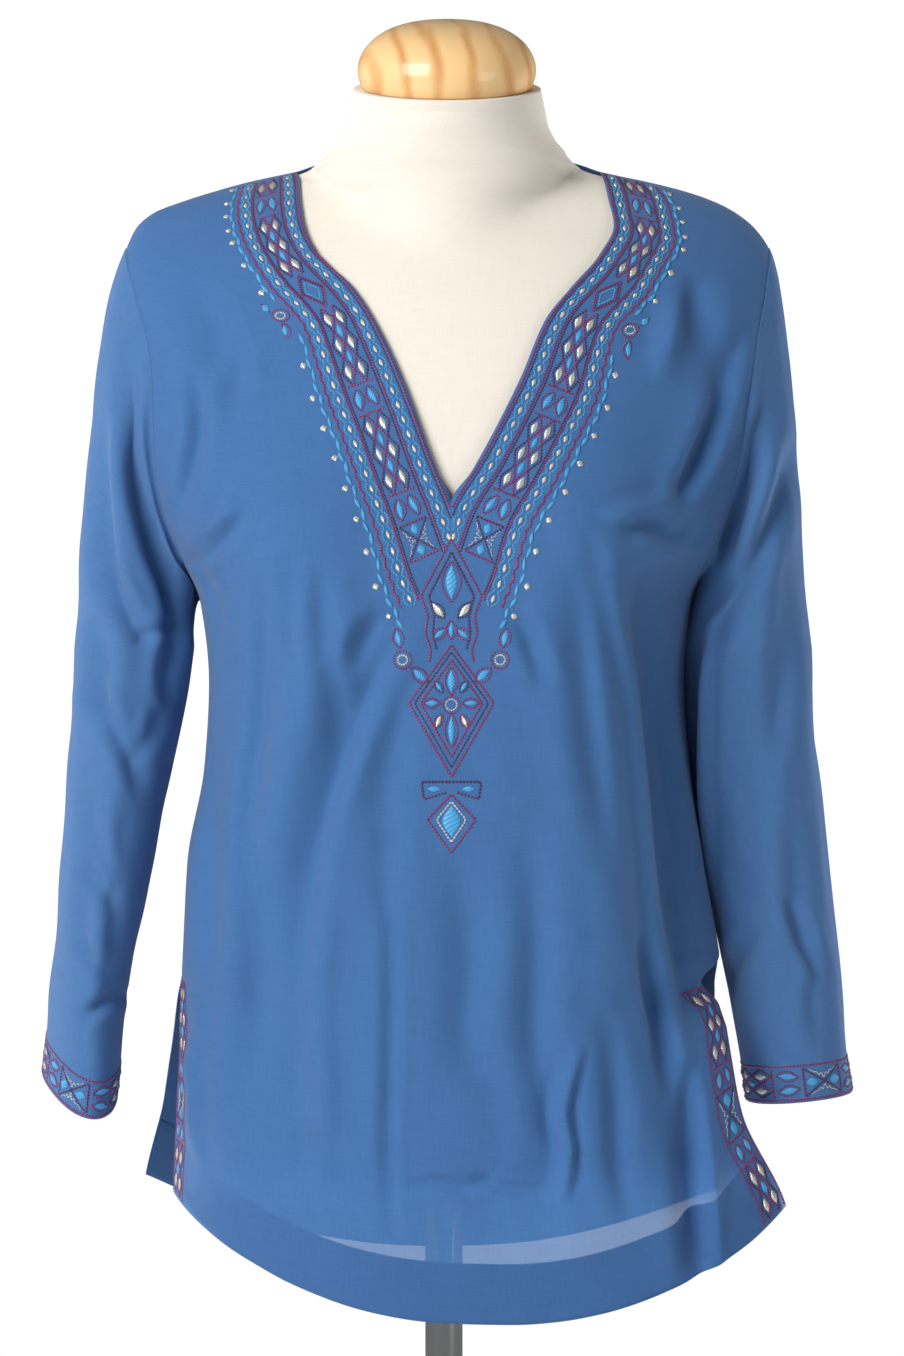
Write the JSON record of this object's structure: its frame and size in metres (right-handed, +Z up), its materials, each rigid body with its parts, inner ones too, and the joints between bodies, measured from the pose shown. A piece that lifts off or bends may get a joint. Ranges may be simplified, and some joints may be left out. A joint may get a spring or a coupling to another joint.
{
  "type": "long-sleeve tunic blouse on a limbless dress form",
  "caption": "Loose V-neck tunic blouse with long straight sleeves, side slits and embroidered borders, worn by a limbless dress form with a wooden neck cap on a pole with a round foot.",
  "frame": {"origin": "on the floor, in the middle of the foot's underside, on the pole's axis", "axes": "+Z up along the pole, -Y out of the blouse's front, +X to the right as seen from the front"},
  "size_m": [0.5457, 0.38, 1.5501],
  "materials": {
    "cloth": "royal-blue plain-weave cotton, thin and slightly sheer, matt",
    "embroidery": "thread embroidery in wine, dark purple, bright blue and silver-white",
    "jersey": "cream fine-rib jersey, stretched",
    "wood": "varnished pine",
    "steel": "chromed steel"
  },
  "bodies": {
    "root": {"front": "cloth", "back": "cloth", "sleeve_left": "cloth", "sleeve_right": "cloth", "neck_border": "embroidery", "cuff_border_left": "embroidery", "cuff_border_right": "embroidery", "slit_border_front_left": "embroidery", "slit_border_front_right": "embroidery", "slit_border_back_left": "embroidery", "slit_border_back_right": "embroidery", "form_torso": "jersey", "neck_cap": "wood", "pole_flange": "steel", "pole": "steel", "foot": "steel"}
  },
  "joints": []
}
